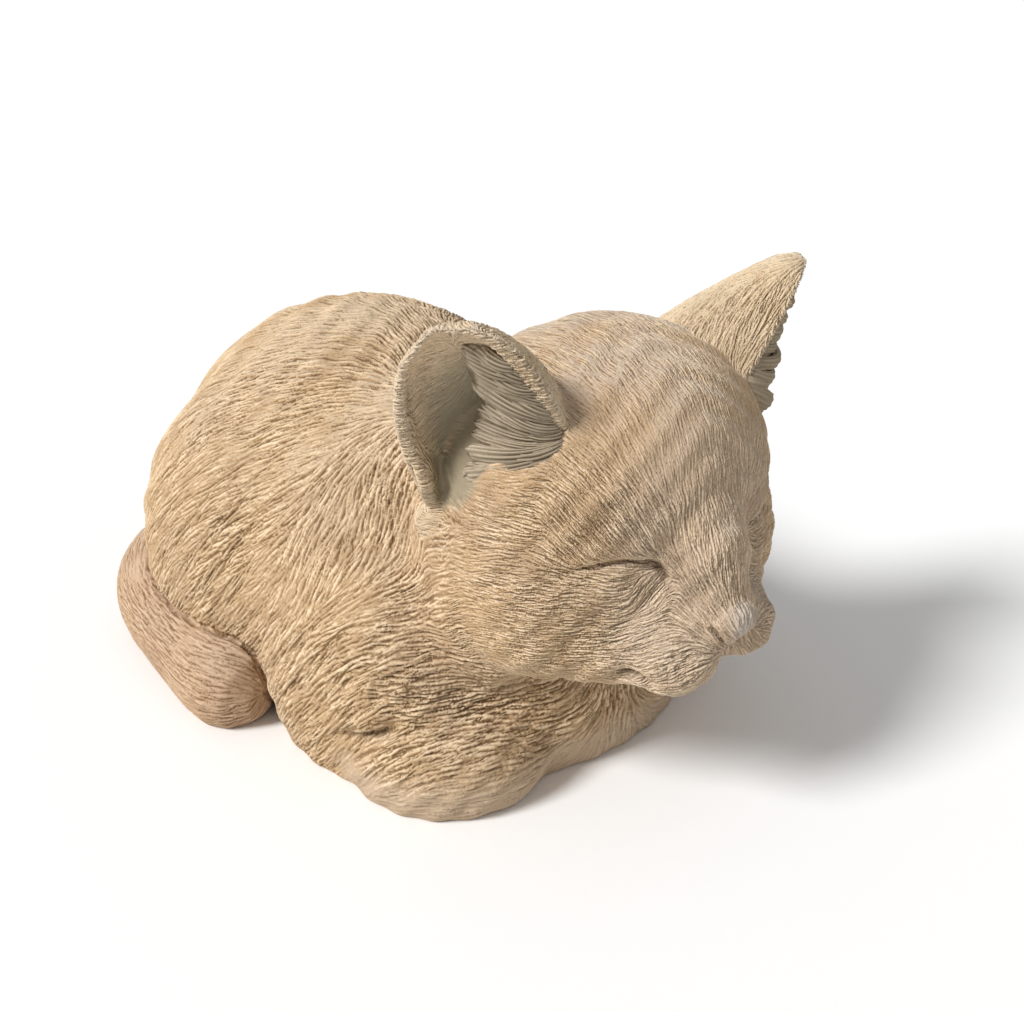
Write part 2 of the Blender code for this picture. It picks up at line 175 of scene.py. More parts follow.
def casting_of(points):
    """The index of the CAD node that lies nearest to each point."""
    return finder_owner[[finder.find_nearest(Vector(point))[2] for point in points]]


skin = Skin(melted)
part = casting_of(skin.points)
on_ear = np.isin(part, [node_names.index(name) for name in EARS])

# The neck. The clay that was pressed in at its sides is smoothed out between the cheek and the shoulder, so
# that head and trunk run into each other without a step. The ears are kept clear of it.
NECK_REACH = 2.2
NECK_EASE = 0.9
NECK_PASSES = 160
EAR_MARGIN = 20
EAR_GUARD = 4


def to_right(points):
    """The factors that carry each point on the cat's left side over to its right side."""
    return np.where(points[:, :1] > 0, (-1, 1, 1), (1, 1, 1))


neck = np.zeros(skin.count)
for place, radius in NECK_CLAY:
    gap = np.linalg.norm(skin.points * to_right(skin.points) - place, axis=1)
    neck = np.maximum(neck, np.clip(NECK_REACH - gap / radius, 0, 1))
neck *= 1 - np.clip(EAR_GUARD * skin.eased(on_ear.astype(float), EAR_MARGIN), 0, 1)
skin.points = skin.eased(skin.points, NECK_PASSES, neck * NECK_EASE, neck > 0)
skin.stand()
melted.vertices.foreach_set("co", skin.points.ravel())

# The finest carving. The face and the ears were worked with the smallest tools, so the skin gets four
# points there for each one elsewhere.
FACE_BACK = -0.066
FACE_FLOOR = 0.040
FINE_EASE = 0.6
FINE_PASSES = 2

fine = bmesh.new()
fine.from_mesh(melted)
fine.verts.ensure_lookup_table()
on_head = part == node_names.index("head")
refined = (on_head & (skin.points[:, 1] < FACE_BACK) & (skin.points[:, 2] > FACE_FLOOR)) | on_ear
bmesh.ops.subdivide_edges(
    fine,
    edges=[edge for edge in fine.edges if refined[edge.verts[0].index] and refined[edge.verts[1].index]],
    cuts=1,
    use_grid_fill=True,
)
bmesh.ops.triangulate(fine, faces=[face for face in fine.faces if len(face.verts) > 4])
fine.to_mesh(melted)
fine.free()
skin = Skin(melted)
skin.points = skin.eased(skin.points, FINE_PASSES, FINE_EASE)
skin.stand()
part = np.concatenate([part, casting_of(skin.points[len(part) :])])
on = {name: part == node_names.index(name) for name in node_names}

# The face. Modelled in the clay with a wire loop: two closed eyes under a soft brow, a broad nose with its
# wings cut in, whisker pads parted by the lip line, and the corners of the mouth behind them.
EYE_LINE = (
    (-0.0467, -0.0925, 0.0764),
    (-0.0415, -0.0958, 0.0818),
    (-0.0348, -0.0977, 0.0858),
    (-0.0284, -0.1020, 0.0876),
    (-0.0228, -0.1057, 0.0881),
    (-0.0169, -0.1085, 0.0870),
    (-0.0150, -0.1095, 0.0851),
    (-0.0129, -0.1110, 0.0812),
)
EYE_PRESS = ((0.0, 0.2, 0.45, 0.8, 0.95, 1.0), (0.0, 0.2, 0.65, 1.0, 0.8, 0.0))
EYE_CUT = {"depth": 0.0022, "width": 0.0012, "lip": 0.0010, "lip_width": 0.0028, "dark": 0.7}
EYE_MOUND = (-0.0255, -0.1065, 0.0785)
EYE_MOUND_SIZE = {"height": 0.0014, "reach": 0.009}
BROW_HOLLOW = (-0.0135, -0.1120, 0.0916)
BROW_HOLLOW_SIZE = {"height": -0.0016, "reach": 0.006}
NOSE_BALL = (0.0, -0.1255, 0.0715)
NOSE_BALL_SIZE = {"height": 0.0012, "reach": 0.0060}
NOSE_WING = (
    (-0.0085, -0.1218, 0.0712),
    (-0.0066, -0.1239, 0.0684),
    (-0.0034, -0.1232, 0.0648),
    (-0.0004, -0.1226, 0.0616),
)
WING_PRESS = ((0.0, 0.12, 0.35, 0.7, 1.0), (0.0, 0.9, 1.0, 0.6, 0.5))
WING_CUT = {"depth": 0.0016, "width": 0.0007, "lip": 0.0006, "lip_width": 0.002, "dark": 0.75}
WING_LIP_SIDE = (0, -1, 0.8)
CHIN_NOTCH = ((0.003, -0.1255, 0.0540), (0.004, -0.1190, 0.0515), (0.006, -0.1100, 0.0490))
CHIN_INWARD = (0.0, 0.55, 0.83)
CHIN_DEPTH = 0.0070
CHIN_WIDTH = 0.0095
LIP_LINE = ((0.0, -0.1228, 0.0630), (0.0, -0.1225, 0.0590), (0.0, -0.1205, 0.0550), (0.0, -0.1160, 0.0505))
LIP_CUT = {"depth": 0.0034, "width": 0.0016, "dark": 0.7}
WHISKER_PAD = (-0.0120, -0.1228, 0.0600)
WHISKER_PAD_SIZE = {"height": 0.0018, "reach": 0.0075}
LEFT_PAD = (0.0130, -0.1190, 0.0570)
LEFT_PAD_SIZE = {"height": -0.0022, "reach": 0.0085}
WHISKER_PITS = (
    (-0.0218, -0.1183, 0.0641),
    (-0.0206, -0.1197, 0.0621),
    (-0.0187, -0.1199, 0.0652),
    (-0.0226, -0.1184, 0.0614),
    (-0.0182, -0.1210, 0.0616),
    (-0.0155, -0.1215, 0.0640),
)
PIT_WIDTH = 0.0004
PIT_DEPTH = 0.0005
PIT_SHADOW = 0.45
MOUTH_CORNER = (
    (-0.0270, -0.1045, 0.0530),
    (-0.0250, -0.1104, 0.0564),
    (-0.0236, -0.1141, 0.0560),
    (-0.0205, -0.1161, 0.0530),
)
MOUTH_CUT = {"depth": 0.0030, "width": 0.0020, "dark": 0.6}
EVEN_PRESS = ((0.0, 0.25, 0.75, 1.0), (0.0, 1.0, 1.0, 0.0))
SCOOP_STEEPNESS = 1.25


def smooth_line(knots, steps=12):
    """Points along a soft curve through the knots."""
    knots = np.array(knots)
    ends = np.vstack([2 * knots[0] - knots[1], knots, 2 * knots[-1] - knots[-2]])
    rows = []
    for i in range(1, len(ends) - 2):
        for t in np.arange(steps) / steps:
            p0, p1, p2, p3 = ends[i - 1 : i + 3]
            square = (2 * p0 - 5 * p1 + 4 * p2 - p3) * t**2
            cube = (3 * p1 - p0 - 3 * p2 + p3) * t**3
            rows.append(0.5 * (2 * p1 + (p2 - p0) * t + square + cube))
    rows.append(knots[-1])
    return np.array(rows)


def beside_line(knots, reach):
    """The points within reach of a line: which they are, how far along it, and their offset from it."""
    line = smooth_line(knots)
    boxed = (skin.points > line.min(0) - reach) & (skin.points < line.max(0) + reach)
    near = np.all(boxed, axis=1).nonzero()[0]
    away = skin.points[near][:, None] - line[None]
    gaps = (away**2).sum(2)
    nearest = gaps.argmin(1)
    rows = np.arange(len(near))
    keep = gaps[rows, nearest] < reach**2
    return near[keep], nearest[keep] / (len(line) - 1), away[rows, nearest][keep]


def furrow(knots, depth, width, lip=0.0, lip_width=0.003, lip_side=(0, 0, 1), press=EVEN_PRESS, dark=1.0):
    """Presses a furrow into the skin along a line, raises a soft lip on one side of it, and marks it for
    painted shade.
    """
    which, along, offset = beside_line(knots, max(3 * width, 4 * lip_width if lip else 0))
    out = facing[which]
    flat = offset - out * (offset * out).sum(1, keepdims=True)
    side = np.array(lip_side, dtype=float) - out * (out @ np.array(lip_side, dtype=float))[:, None]
    side /= np.maximum(np.linalg.norm(side, axis=1, keepdims=True), 1e-9)
    across = np.linalg.norm(flat, axis=1)
    above = (flat * side).sum(1)
    strength = np.interp(along, *press)
    cut = np.exp(-((across / width) ** 2)) * strength
    raised = np.where(above > 0, (across / lip_width) * np.exp(1 - across / lip_width), 0.0) * strength
    skin.points[which] += out * (raised * lip - cut * depth)[:, None]
    np.maximum.at(shadow, which, cut * dark)


def swell(place, height, reach):
    """Raises the skin round a place, or presses it in where the height is below nought."""
    gap = np.linalg.norm(skin.points - np.array(place), axis=1)
    lift = height * np.exp(-((gap / reach) ** 2))
    skin.points[:] += facing * lift[:, None]


def mirrored(knots):
    """The same places on the cat's left side."""
    return tuple((-x, y, z) for x, y, z in knots)


def scoop(knots, inward, depth, width, share):
    """Hollows the skin out along a line, straight in one direction, each point as far as its share."""
    inward = np.array(inward) / np.linalg.norm(inward)
    which, along, offset = beside_line(knots, 2 * width)
    aside = np.linalg.norm(offset - inward * (offset @ inward)[:, None], axis=1) / width
    push = np.clip(SCOOP_STEEPNESS * (1 - aside), 0, 1)
    push = push * push * (3 - 2 * push) * share[which]
    skin.points[which] += inward * (push * depth)[:, None]
    return which, push


facing = skin.facing()
shadow = np.zeros(skin.count)
for place in (EYE_MOUND, *mirrored((EYE_MOUND,))):
    swell(place, **EYE_MOUND_SIZE)
for place in (BROW_HOLLOW, *mirrored((BROW_HOLLOW,))):
    swell(place, **BROW_HOLLOW_SIZE)
swell(WHISKER_PAD, **WHISKER_PAD_SIZE)
swell(LEFT_PAD, **LEFT_PAD_SIZE)
swell(NOSE_BALL, **NOSE_BALL_SIZE)
scoop(CHIN_NOTCH, CHIN_INWARD, CHIN_DEPTH, CHIN_WIDTH, np.ones(skin.count))
facing = skin.facing()
for knots in (EYE_LINE, mirrored(EYE_LINE)):
    furrow(knots, press=EYE_PRESS, **EYE_CUT)
for knots in (NOSE_WING, mirrored(NOSE_WING)):
    furrow(knots, lip_side=WING_LIP_SIDE, press=WING_PRESS, **WING_CUT)
for knots in (MOUTH_CORNER, mirrored(MOUTH_CORNER)):
    furrow(knots, **MOUTH_CUT)
furrow(LIP_LINE, **LIP_CUT)
for place in WHISKER_PITS + mirrored(WHISKER_PITS):
    gap = np.linalg.norm(skin.points - np.array(place), axis=1)
    pit = np.exp(-(((gap - gap.min()) / PIT_WIDTH) ** 2))
    skin.points -= facing * (PIT_DEPTH * pit)[:, None]
    shadow = np.maximum(shadow, PIT_SHADOW * pit)

# The ears. Each is a cup with a thick, rounded rim. It is hollowed down into the head as a deep slot, and a
# small pouch is folded into the lower end of its back edge.
EAR_FRONT = (-0.032, -0.090, 0.123)
EAR_OPENING = (-0.69, -0.59, -0.41)
EAR_SLOT = (
    (-0.0410, -0.0660, 0.1210),
    (-0.0440, -0.0650, 0.1130),
    (-0.0462, -0.0630, 0.1050),
    (-0.0466, -0.0570, 0.0975),
)
EAR_SLOT_INWARD = (0.72, 0.62, 0.30)
EAR_SLOT_DEPTH = 0.0025
EAR_SLOT_WIDTH = 0.0080
EAR_SLOT_TINT = 0.013
EAR_RIM_ROLL = 0.0017
EAR_POUCH = ((-0.0562, -0.0530, 0.1065), (-0.0538, -0.0511, 0.1011), (-0.0512, -0.0494, 0.0950))
POUCH_CUT = {"depth": 0.0016, "width": 0.0009, "lip": 0.0010, "lip_width": 0.0025, "dark": 0.7}
POUCH_LIP_SIDE = (0.5, -0.8, 0.2)
CUP_DEPTH = 0.009
HEAD_MARGIN = 40
SLOT_EASE = 0.8
SLOT_PASSES = 40
RIM_SEARCH = 40
RIM_SHARPNESS = 0.0005
RIM_EASE = 0.5
RIM_PASSES = 6
TINT_DEPTH = 0.003
FACE_FRONT = -0.094
FACE_FADE = 0.015
RIM_WEAR_AND_HIGHLIGHT = 0.8
WORN_FACE = 0.4
WEAR_AND_HIGHLIGHT_PLACES = ((NOSE_BALL, 0.0075, 0.8), (WHISKER_PAD, 0.0140, 0.25))

hollow = np.zeros(skin.count)
head_share = skin.eased(on["head"].astype(float), HEAD_MARGIN)
ear_share = skin.eased((on["ear_right"] | on["ear_left"]).astype(float), EAR_MARGIN)
for side in (1, -1):
    mirror = np.array([side, 1, 1])
    slot_line = np.array(EAR_SLOT) * mirror
    slot_inward = np.array(EAR_SLOT_INWARD) * mirror
    which, push = scoop(slot_line, slot_inward, EAR_SLOT_DEPTH, EAR_SLOT_WIDTH, head_share)
    np.maximum.at(hollow, which, push)
scooped = np.clip(skin.eased(hollow, 6) * 4, 0, 1)
skin.points = skin.eased(skin.points, SLOT_PASSES, scooped * SLOT_EASE, scooped > 0)
facing = skin.facing()
edge = ((skin.points - skin.eased(skin.points, RIM_SEARCH, 1.0, ear_share > 0)) * facing).sum(1)
rim = np.clip(edge / RIM_SHARPNESS, 0, 1) * ear_share
skin.points += facing * (skin.eased(rim, 4) * EAR_RIM_ROLL)[:, None]
skin.points = skin.eased(skin.points, RIM_PASSES, ear_share * RIM_EASE, ear_share > 0)
facing = skin.facing()
for knots in (EAR_POUCH, mirrored(EAR_POUCH)):
    furrow(knots, lip_side=POUCH_LIP_SIDE, **POUCH_CUT)
opening = np.array(EAR_OPENING) * to_right(skin.points)
ear_front = np.array(EAR_FRONT) * to_right(skin.points)
below = -((skin.points - ear_front) * opening).sum(1)
inside = np.clip(2 * (facing * opening).sum(1), 0, 1) * ear_share
inner = np.maximum(inside * np.clip(below / CUP_DEPTH, 0, 1), hollow)
for side in (1, -1):
    which, _, offset = beside_line(np.array(EAR_SLOT) * (side, 1, 1), EAR_SLOT_TINT)
    near = np.clip(2 - 2 * np.linalg.norm(offset, axis=1) / EAR_SLOT_TINT, 0, 1)
    near *= np.clip(0.3 + 2 * (facing * opening).sum(1)[which], 0, 1)
    near *= np.clip(0.5 + offset @ (np.array(EAR_SLOT_INWARD) * (side, 1, 1)) / TINT_DEPTH, 0, 1)
    np.maximum.at(inner, which, near)
inner = skin.eased(inner, 6)
# Pale grey marks that are partly wear and partly painted highlight: on the ear rims, the nose ball, the
# whisker pads and the front of the face.
wear_and_highlight = RIM_WEAR_AND_HIGHLIGHT * skin.eased(rim, 3)
for place, reach, share in WEAR_AND_HIGHLIGHT_PLACES:
    wear_and_highlight = np.maximum(wear_and_highlight, share * np.exp(-((skin.points - np.array(place)) ** 2).sum(1) / reach**2))
wear_and_highlight = np.maximum(wear_and_highlight, WORN_FACE * np.clip((FACE_FRONT - skin.points[:, 1]) / FACE_FADE, 0, 1))

# The near forepaw is folded at the wrist, where the fur of the forearm hangs over it, and the tail is
# pressed against the haunch, with a crease between them.
WRIST_FOLD = (
    (-0.0794, -0.0392, 0.0188),
    (-0.0756, -0.0481, 0.0224),
    (-0.0710, -0.0549, 0.0254),
    (-0.0666, -0.0592, 0.0296),
)
FOLD_CUT = {"depth": 0.0024, "width": 0.0018, "lip": 0.0016, "lip_width": 0.004, "dark": 0.5}
TAIL_CREASE_DEPTH = 0.0022
TAIL_CREASE_PASSES = 8
TAIL_CREASE_SHADOW = 0.45
furrow(WRIST_FOLD, **FOLD_CUT)
tail_edge = 4 * skin.eased(on["tail"].astype(float), TAIL_CREASE_PASSES)
tail_edge = np.clip(tail_edge * (1 - tail_edge / 4), 0, 1) ** 2
skin.points -= facing * (tail_edge * TAIL_CREASE_DEPTH)[:, None]
shadow = np.maximum(shadow, TAIL_CREASE_SHADOW * tail_edge)

# The lay of the fur. The carver combed the clay in strokes that follow the coat: back from the nose and
# round the eyes, across the chest, down the shoulders, and slanting over the flanks to the tail.
HEAD_LAY = (
    ((0.000, -0.121, 0.086), (0.00, 0.10, 0.99)),
    ((-0.007, -0.119, 0.082), (-0.36, 0.36, 0.86)),
    ((-0.007, -0.115, 0.097), (0.11, 0.40, 0.91)),
    ((-0.020, -0.109, 0.102), (-0.35, 0.27, 0.90)),
    ((-0.030, -0.103, 0.100), (-0.55, 0.48, 0.68)),
    ((-0.037, -0.096, 0.100), (-0.49, 0.63, 0.60)),
    ((-0.044, -0.085, 0.098), (-0.40, 0.92, -0.05)),
    ((-0.011, -0.117, 0.074), (-0.32, 0.67, 0.68)),
    ((-0.017, -0.110, 0.077), (-0.60, 0.10, -0.75)),
    ((-0.022, -0.109, 0.071), (-0.75, 0.56, -0.35)),
    ((-0.032, -0.102, 0.075), (-0.87, 0.38, 0.30)),
    ((-0.044, -0.095, 0.072), (-0.74, 0.67, 0.03)),
    ((-0.050, -0.081, 0.084), (-0.32, 0.92, -0.20)),
    ((-0.035, -0.101, 0.063), (-0.76, 0.64, -0.09)),
    ((-0.019, -0.116, 0.067), (-0.78, 0.55, -0.31)),
    ((-0.018, -0.121, 0.059), (-0.76, 0.46, -0.46)),
    ((-0.050, -0.071, 0.064), (-0.20, 0.89, -0.44)),
    ((-0.032, -0.080, 0.045), (-0.80, 0.44, 0.40)),
    ((-0.008, -0.109, 0.117), (0.00, 0.36, 0.93)),
    ((-0.019, -0.100, 0.122), (-0.10, 0.67, 0.74)),
    ((-0.032, -0.093, 0.118), (-0.32, 0.81, 0.49)),
    ((-0.007, -0.086, 0.136), (0.00, 0.87, 0.36)),
    ((-0.025, -0.077, 0.132), (-0.08, 0.98, 0.17)),
    ((-0.040, -0.082, 0.116), (-0.50, 0.80, -0.30)),
    ((-0.044, -0.079, 0.106), (-0.45, 0.85, -0.15)),
)
TRUNK_LAY = (
    ((-0.067, 0.014, 0.085), (-0.64, 0.60, -0.48)),
    ((-0.078, 0.011, 0.068), (-0.49, 0.59, -0.65)),
    ((-0.069, -0.026, 0.068), (-0.59, -0.04, -0.81)),
    ((-0.055, -0.033, 0.079), (-0.52, -0.43, -0.74)),
    ((-0.087, 0.013, 0.036), (-0.45, 0.55, -0.70)),
    ((-0.079, -0.033, 0.041), (-0.28, 0.45, -0.84)),
    ((-0.091, 0.046, 0.053), (-0.18, 0.56, -0.81)),
    ((-0.080, 0.053, 0.082), (-0.54, 0.40, -0.74)),
    ((-0.056, 0.033, 0.103), (-0.62, 0.69, -0.36)),
    ((-0.029, 0.041, 0.119), (-0.77, 0.63, -0.14)),
    ((-0.062, -0.053, 0.056), (-0.93, 0.42, 0.05)),
    ((-0.068, -0.044, 0.050), (-0.80, 0.52, -0.28)),
    ((-0.055, -0.063, 0.042), (-0.93, 0.40, 0.08)),
    ((-0.050, -0.071, 0.024), (-0.95, 0.34, 0.12)),
    ((-0.060, -0.057, 0.051), (-0.88, 0.43, -0.20)),
    ((-0.042, -0.070, 0.032), (-0.94, 0.32, 0.11)),
    ((-0.014, -0.078, 0.018), (-0.98, 0.13, 0.14)),
    ((-0.039, -0.078, 0.018), (-0.93, 0.07, 0.37)),
    ((-0.068, -0.068, 0.016), (-0.82, 0.35, -0.40)),
    ((-0.057, -0.078, 0.009), (-0.90, 0.38, -0.15)),
    ((-0.077, -0.040, 0.011), (-0.04, 0.58, -0.82)),
    ((-0.005, 0.010, 0.115), (0.00, 1.00, 0.00)),
    ((-0.012, 0.060, 0.120), (0.00, 1.00, -0.20)),
    ((-0.012, 0.110, 0.085), (0.00, 0.50, -0.85)),
    ((-0.040, 0.110, 0.060), (-0.30, 0.30, -0.85)),
    ((-0.002, -0.080, 0.024), (-0.20, 0.00, -0.98)),
    ((-0.002, -0.078, 0.012), (-0.20, 0.00, -0.98)),
)
TAIL_ROUND = (-0.012, 0.048)
EAR_HOLLOW = (-0.046, -0.072, 0.122)
EAR_AXIS = (-0.35, -0.10, 0.93)
EAR_FAN = 0.4
HEAD_BLEND = 0.004
TRUNK_BLEND = 0.012
LAY_PASSES = 6


def combed(points, lay, reach):
    """The direction of the coat at each point, blended from the strokes laid round it on both sides."""
    places = np.array([place for place, _ in lay] + [(-x, y, z) for (x, y, z), _ in lay])
    headings = np.array([to for _, to in lay] + [(-x, y, z) for _, (x, y, z) in lay])
    weight = 1 / (((points[:, None] - places[None]) ** 2).sum(2) + reach**2) ** 2
    return weight @ headings


def along_skin(heading):
    """Headings laid flat on the skin, all of one length."""
    heading = heading - facing * (heading * facing).sum(1, keepdims=True)
    return heading / np.maximum(np.linalg.norm(heading, axis=1, keepdims=True), 1e-9)


facing = skin.facing()
flow = np.zeros_like(skin.points)
flow[on["head"]] = combed(skin.points[on["head"]], HEAD_LAY, HEAD_BLEND)
off_head = ~on["head"]
flow[off_head] = combed(skin.points[off_head], TRUNK_LAY, TRUNK_BLEND)
tail_out = skin.points[on["tail"], :2] - np.array(TAIL_ROUND)
flow[on["tail"]] = np.column_stack([-tail_out[:, 1], tail_out[:, 0], np.zeros(len(tail_out))])
for name, side in (("ear_right", 1), ("ear_left", -1)):
    mirror = np.array([side, 1, 1])
    axis = np.array(EAR_AXIS) * mirror / np.linalg.norm(EAR_AXIS)
    out = skin.points[on[name]] - np.array(EAR_HOLLOW) * mirror
    out -= axis * (out @ axis)[:, None]
    out /= np.maximum(np.linalg.norm(out, axis=1, keepdims=True), 1e-9)
    cupped = inside[on[name]][:, None]
    flow[on[name]] = cupped * out + (1 - cupped) * (axis + EAR_FAN * out)
flow = along_skin(skin.eased(along_skin(flow), LAY_PASSES))

# The strokes. Strands of clay raised between the narrow grooves of the comb, drawn out along the lay of the
# fur, with short nicks between them. They are deepest on the chest and nearly worn away on the paws.
STROKE_STEPS = 7
NICK_STEPS = 4
NICK_LEAST = 2.0
STROKE_DEPTH = {
    "trunk_shell": 0.00030,
    "head": 0.00021,
    "tail": 0.00017,
    "ear_right": 0.00018,
    "ear_left": 0.00018,
    "forepaw_right": 0.00030,
    "forepaw_left": 0.00030,
}
RUBBED_TOP = 0.024
RUBBED_BACK = -0.030
RUBBED_FADE = 0.014
CHEST_BACK = -0.042
CHEST_FADE = 0.020
CROWN = 0.098
GROOVE_DEPTH = 1.5
LANE_FOCUS = 14
COARSE_SHARE = 0.6
CLUMP_WIDTH = 4
DRIFT_LENGTH = 0.03
DRIFT_WAVES = 12
DEPTH_PASSES = 8
FLOOR_FADE = 0.004
WORN_PAW = 0.4
carver = np.random.default_rng(7)


def lane(heading):
    """How much of each neighbour lies straight ahead along a heading."""
    step = skin.points[skin.end] - skin.points[skin.start]
    step /= np.maximum(np.linalg.norm(step, axis=1, keepdims=True), 1e-12)
    ahead = np.maximum((step * heading[skin.start]).sum(1), 0.0) ** LANE_FOCUS
    total = np.bincount(skin.start, ahead, skin.count)
    return ahead / np.maximum(total, 1e-9)[skin.start]


lanes = lane(flow), lane(-flow)
dense = on["ear_right"] | on["ear_left"] | (on["head"] & (skin.points[:, 1] < FACE_BACK))


def strands(width, steps, least=None):
    """Random relief drawn out along the lay into strands, or into scattered nicks above a least height."""
    relief = carver.standard_normal(skin.count)
    relief = skin.eased(relief if least is None else (relief > least).astype(float), width)
    drawn = relief.copy()
    for ahead in lanes:
        moved = relief
        for step in range(steps):
            moved = skin.gathered(ahead, moved)
            drawn += moved * (dense | (step < COARSE_SHARE * steps))
    drawn -= skin.eased(drawn, 4 * width + 3)
    return drawn / drawn.std()


def drift(length):
    """A slow random drift over the skin, from 0 to 1, made of waves about as long as the length."""
    waves = carver.standard_normal((3, DRIFT_WAVES))
    waves *= 2 * np.pi / length / np.linalg.norm(waves, axis=0) * carver.uniform(0.6, 1.5, DRIFT_WAVES)
    phases = carver.uniform(0, 2 * np.pi, DRIFT_WAVES)
    return np.clip(0.5 + np.cos(skin.points @ waves + phases).sum(1) / 8, 0, 1)


rubbed = np.clip((RUBBED_TOP - skin.points[:, 2]) / RUBBED_FADE, 0, 1)
rubbed *= np.clip((RUBBED_BACK - skin.points[:, 1]) / RUBBED_FADE, 0, 1) * off_head
strand = np.tanh(1.1 * strands(0, STROKE_STEPS))
clump = np.tanh(strands(CLUMP_WIDTH, 2 * STROKE_STEPS))
nick = np.clip(strands(0, NICK_STEPS, NICK_LEAST) - 0.5, 0, 2) / 2
depth = np.zeros(skin.count)
for name, value in STROKE_DEPTH.items():
    depth[on[name]] = value
depth = skin.eased(depth, DEPTH_PASSES)
crown = np.clip((skin.points[:, 2] - CROWN) / RUBBED_FADE, 0, 1) * on["head"]
chest = np.clip((CHEST_BACK - skin.points[:, 1]) / CHEST_FADE, 0, 1) * off_head
strength = (0.7 + 0.5 * drift(DRIFT_LENGTH)) * (1 - 0.9 * inner) * (1 + 0.6 * rim)
strength *= (1 + 0.4 * skin.eased(chest, 20)) * (1 - 0.7 * rubbed) * (1.1 - 0.4 * crown)
raised = 0.85 * strand + 0.4 * clump - 0.9 * nick
raised = np.where(raised < 0, GROOVE_DEPTH * raised, raised)
raised = depth * strength * raised * np.clip(skin.points[:, 2] / FLOOR_FADE, 0, 1)
skin.points += facing * raised[:, None]
skin.stand()
strand = np.clip(strength * (strand + 0.25 * clump - 0.8 * nick), -1, 1)
wear_and_highlight = np.maximum(wear_and_highlight, WORN_PAW * rubbed)
facing = skin.facing()

# The stain. Grey-buff cast stone, washed with a brown stain that stayed in the grooves and dry-brushed with
# cream on the high strokes, with drifts of other tints, fine grain and the pinholes of the casting.
WEAR_AND_HIGHLIGHT_TINT = (0.62, 0.58, 0.535, 1.0)
PAINTED_CREASE_SHADE = (0.09, 0.055, 0.03, 1.0)
PINHOLE_TINT = (0.10, 0.06, 0.035, 1.0)
STONE_ROUGHNESS = 0.85
STONE_SHINE = 0.1
GRAIN_STRENGTH = 0.3
GRAIN_HEIGHT = 0.0003


def put(tree, kind, inputs=(), **settings):
    """A new node with its settings made and its inputs fed, by name or number."""
    made = tree.nodes.new(kind)
    for key, value in settings.items():
        setattr(made, key, value)
    for key, value in dict(inputs).items():
        if isinstance(value, bpy.types.NodeSocket):
            tree.links.new(value, made.inputs[key])
        else:
            made.inputs[key].default_value = value
    return made


